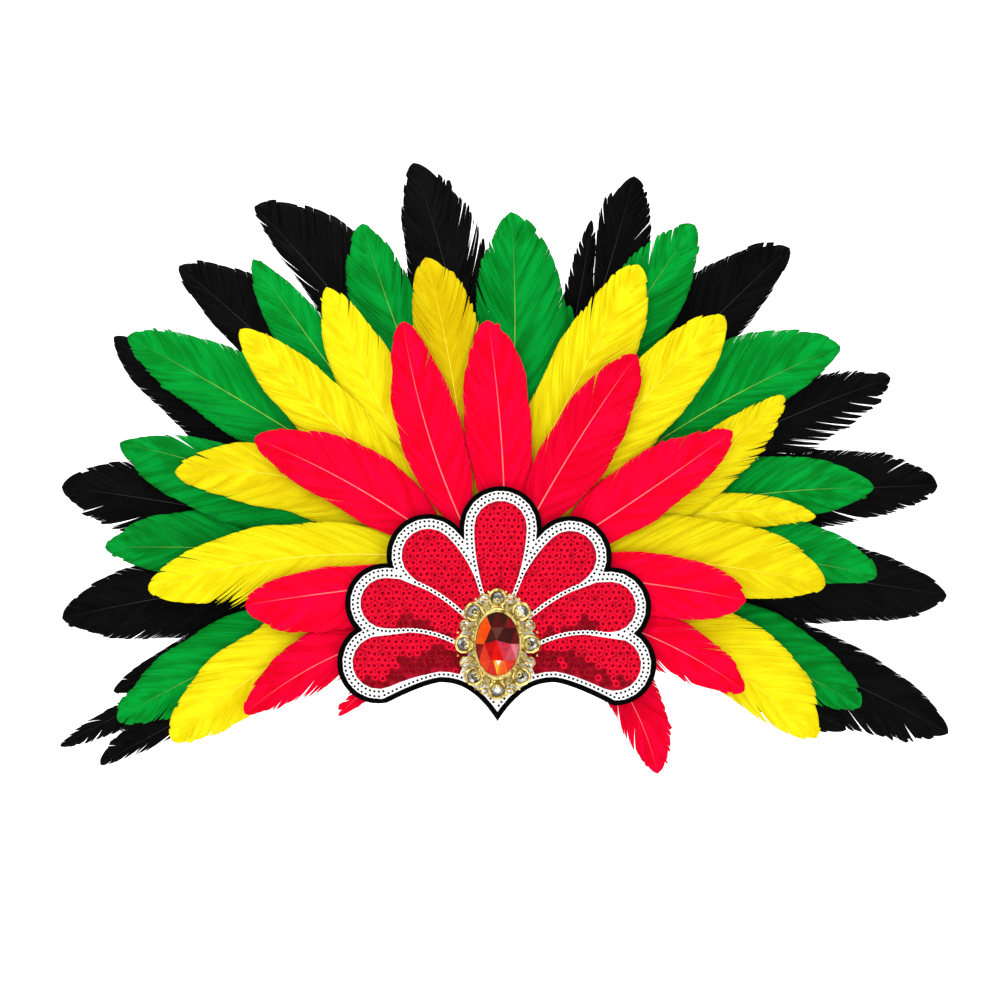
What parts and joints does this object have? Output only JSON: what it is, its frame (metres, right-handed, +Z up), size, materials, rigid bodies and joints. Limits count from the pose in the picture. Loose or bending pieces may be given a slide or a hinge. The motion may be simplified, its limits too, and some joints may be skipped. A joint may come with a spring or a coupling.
{
  "type": "carnival feather headdress",
  "caption": "Worn headdress: a lobed sequinned forehead plate with a brow point and an oval brooch, a wide fan of layered dyed feathers behind it, and an elastic head strap.",
  "frame": {"origin": "where the back of the padded plate sits on the middle of the forehead, at the height of the middle of the head strap", "axes": "+X to the wearer's left, the right-hand side seen from the front; +Y backwards, through the head; +Z up"},
  "size_m": [0.5193, 0.2063, 0.3557],
  "materials": {
    "red_feather": "soft sheen",
    "yellow_feather": "soft sheen",
    "green_feather": "soft sheen",
    "black_feather": "silky",
    "black_felt": "matte felt",
    "red_sequins": "glossy",
    "white_sequins": "glossy",
    "gold_metal": "polished",
    "red_stone": "clear, faceted",
    "black_elastic": "woven"
  },
  "bodies": {
    "root": {"red_feather_01": "red_feather", "red_feather_02": "red_feather", "red_feather_03": "red_feather", "red_feather_04": "red_feather", "red_feather_05": "red_feather", "red_feather_06": "red_feather", "red_feather_07": "red_feather", "red_feather_08": "red_feather", "red_feather_09": "red_feather", "red_feather_10": "red_feather", "red_feather_11": "red_feather", "yellow_feather_01": "yellow_feather", "yellow_feather_02": "yellow_feather", "yellow_feather_03": "yellow_feather", "yellow_feather_04": "yellow_feather", "yellow_feather_05": "yellow_feather", "yellow_feather_06": "yellow_feather", "yellow_feather_07": "yellow_feather", "yellow_feather_08": "yellow_feather", "yellow_feather_09": "yellow_feather", "yellow_feather_10": "yellow_feather", "yellow_feather_11": "yellow_feather", "yellow_feather_12": "yellow_feather", "green_feather_01": "green_feather", "green_feather_02": "green_feather", "green_feather_03": "green_feather", "green_feather_04": "green_feather", "green_feather_05": "green_feather", "green_feather_06": "green_feather", "green_feather_07": "green_feather", "green_feather_08": "green_feather", "green_feather_09": "green_feather", "green_feather_10": "green_feather", "green_feather_11": "green_feather", "green_feather_12": "green_feather", "green_feather_13": "green_feather", "black_feather_01": "black_feather", "black_feather_02": "black_feather", "black_feather_03": "black_feather", "black_feather_04": "black_feather", "black_feather_05": "black_feather", "black_feather_06": "black_feather", "black_feather_07": "black_feather", "black_feather_08": "black_feather", "black_feather_09": "black_feather", "black_feather_10": "black_feather", "black_feather_11": "black_feather", "black_feather_12": "black_feather", "black_feather_13": "black_feather", "black_feather_14": "black_feather", "black_feather_15": "black_feather", "black_feather_16": "black_feather", "black_feather_17": "black_feather", "felt_base": "black_felt", "sequin_cloth": "red_sequins", "sequin_trim": "white_sequins", "brooch_setting": "gold_metal", "centre_stone": "red_stone", "back_felt": "black_felt", "head_strap": "black_elastic"}
  },
  "joints": []
}
